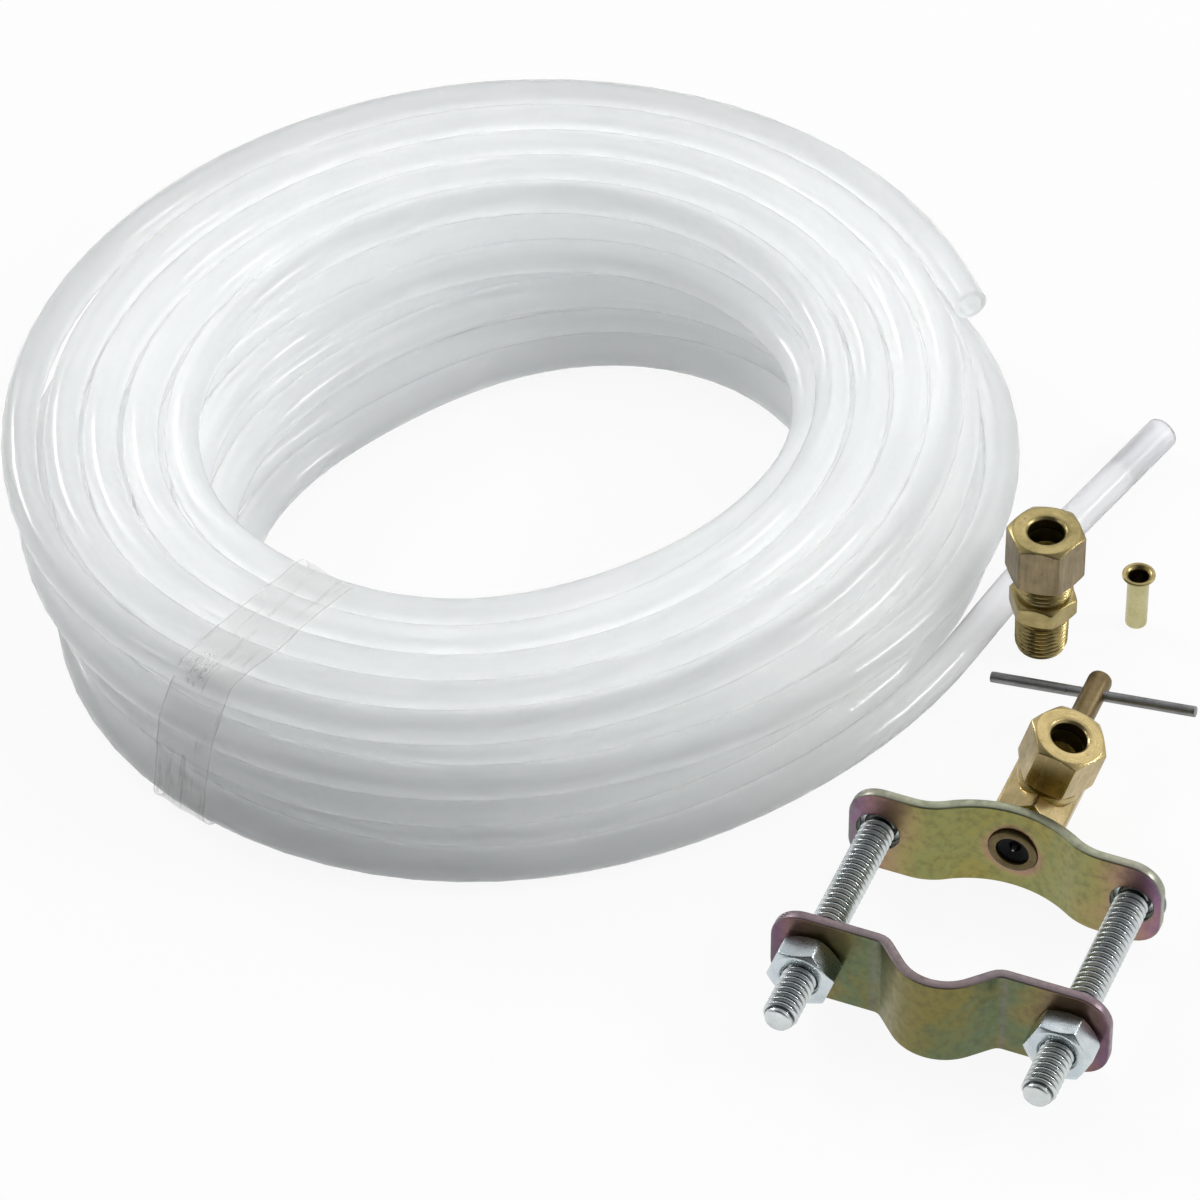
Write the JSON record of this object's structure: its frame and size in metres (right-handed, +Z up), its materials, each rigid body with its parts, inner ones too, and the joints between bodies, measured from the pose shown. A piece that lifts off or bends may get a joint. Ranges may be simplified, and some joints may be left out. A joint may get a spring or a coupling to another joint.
{
  "type": "water line installation kit",
  "caption": "Coil of translucent tubing with a taped bundle, a brass compression fitting, a tube insert and a self-piercing saddle valve with a T-bar handle.",
  "frame": {"origin": "centre of the bounding box's bottom, on the surface that the kit lies on", "axes": "+Z up; +X along the saddle valve's brackets, from the coil towards the loose pieces; +Y along the valve's stem towards its T-bar"},
  "size_m": [0.238, 0.2015, 0.0302],
  "materials": {
    "tubing": "milky translucent polyethylene, soft gloss",
    "tape_film": "clear packing film with wrinkles",
    "brass": "machined brass, turned faces and drawn flats",
    "pale_brass": "pale drawn brass",
    "brown_brass": "tarnished brass rod",
    "dichromate_steel": "zinc plated steel with yellow iridescent dichromate",
    "zinc_steel": "bright zinc plated steel",
    "bar_steel": "plain grey steel",
    "black_rubber": "black rubber"
  },
  "bodies": {
    "kit_base": {"tube_coil": "tubing", "tube_tail": "tubing", "tape_band": "tape_film", "fitting_body": "brass", "tube_insert": "pale_brass", "upper_bracket": "dichromate_steel", "bolt_left": "zinc_steel", "bolt_right": "zinc_steel", "valve_body": "brass", "stem_seal": "black_rubber", "saddle_gasket": "black_rubber"},
    "clamp_plate": {"lower_bracket": "dichromate_steel"},
    "left_nut": {"nut_left": "zinc_steel"},
    "right_nut": {"nut_right": "zinc_steel"},
    "needle": {"piercing_needle": "bar_steel"},
    "handle": {"valve_stem": "brown_brass", "t_bar": "bar_steel"},
    "fitting_ring": {"fitting_sleeve": "pale_brass"},
    "fitting_cap": {"fitting_nut": "brass"},
    "outlet_ring": {"outlet_sleeve": "pale_brass"},
    "outlet_cap": {"outlet_nut": "brass"}
  },
  "joints": [
    {"name": "clamp_slide", "type": "slide", "parent": "kit_base", "child": "clamp_plate", "axis": [0, -1, 0], "range_m": [-0.0279, 0.0063]},
    {"name": "left_nut_turn", "type": "hinge", "parent": "clamp_plate", "child": "left_nut", "pos_m": [0.06429, -0.08739, 0.009], "axis": [0, -1, 0], "range_deg": [-7920, 1800]},
    {"name": "right_nut_turn", "type": "hinge", "parent": "clamp_plate", "child": "right_nut", "pos_m": [0.11129, -0.08739, 0.009], "axis": [0, -1, 0], "range_deg": [-7920, 1800]},
    {"name": "needle_slide", "type": "slide", "parent": "kit_base", "child": "needle", "axis": [0, 1, 0], "range_m": [-0.00545, 0.00182]},
    {"name": "handle_turn", "type": "hinge", "parent": "needle", "child": "handle", "pos_m": [0.08779, -0.00514, 0.009], "axis": [0, 1, 0], "range_deg": [-2160, 720]},
    {"name": "fitting_ring_slide", "type": "slide", "parent": "kit_base", "child": "fitting_ring", "axis": [0, 0, 1], "range_m": [-0.00106, 0.00318]},
    {"name": "fitting_nut_turn", "type": "hinge", "parent": "fitting_ring", "child": "fitting_cap", "pos_m": [0.07189, 0.01246, 0.023], "axis": [0, 0, 1], "range_deg": [-360, 1080]},
    {"name": "outlet_ring_slide", "type": "slide", "parent": "kit_base", "child": "outlet_ring", "axis": [0.2756, 0, 0.9613], "range_m": [-0.00106, 0.00265]},
    {"name": "outlet_nut_turn", "type": "hinge", "parent": "outlet_ring", "child": "outlet_cap", "pos_m": [0.09137, -0.03324, 0.0215], "axis": [0.2756, 0, 0.9613], "range_deg": [-360, 900]}
  ],
  "couplings": [
    {"joint": "left_nut_turn", "follows": "clamp_slide", "rad_per_m": 4947.4},
    {"joint": "right_nut_turn", "follows": "clamp_slide", "rad_per_m": 4947.4},
    {"joint": "needle_slide", "follows": "handle_turn", "m_per_rad": 0.00014435},
    {"joint": "fitting_ring_slide", "follows": "fitting_nut_turn", "m_per_rad": 0.00016839},
    {"joint": "outlet_ring_slide", "follows": "outlet_nut_turn", "m_per_rad": 0.00016839}
  ]
}
